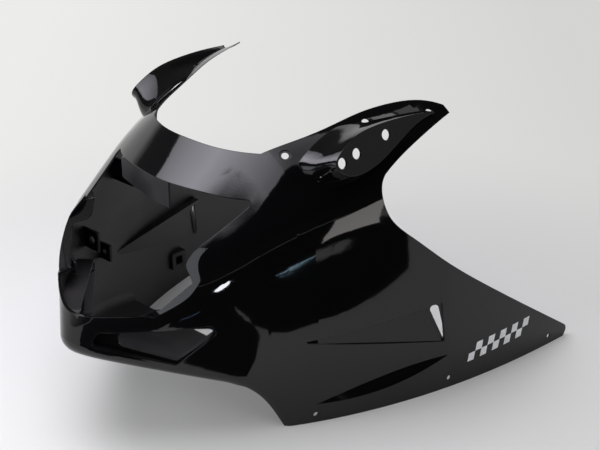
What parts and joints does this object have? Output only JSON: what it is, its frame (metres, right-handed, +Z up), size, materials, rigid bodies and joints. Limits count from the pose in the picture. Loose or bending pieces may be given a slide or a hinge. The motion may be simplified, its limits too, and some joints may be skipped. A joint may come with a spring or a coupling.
{
  "type": "motorcycle fairing",
  "caption": "Moulded upper motorcycle fairing: nose shell with open lamp aperture, screen cut-out, intakes, mirror pods with flat pads, and long flanks with dipped side vents.",
  "frame": {"origin": "centre of the bounding box, on the table under the lower edges", "axes": "+Z up from the table, nose towards -Y, +X across the bike"},
  "size_m": [0.6062, 0.7211, 0.4168],
  "materials": {
    "body": "gloss lacquer outside, matt inside"
  },
  "bodies": {
    "root": {"fairing_shell": "body"}
  },
  "joints": []
}
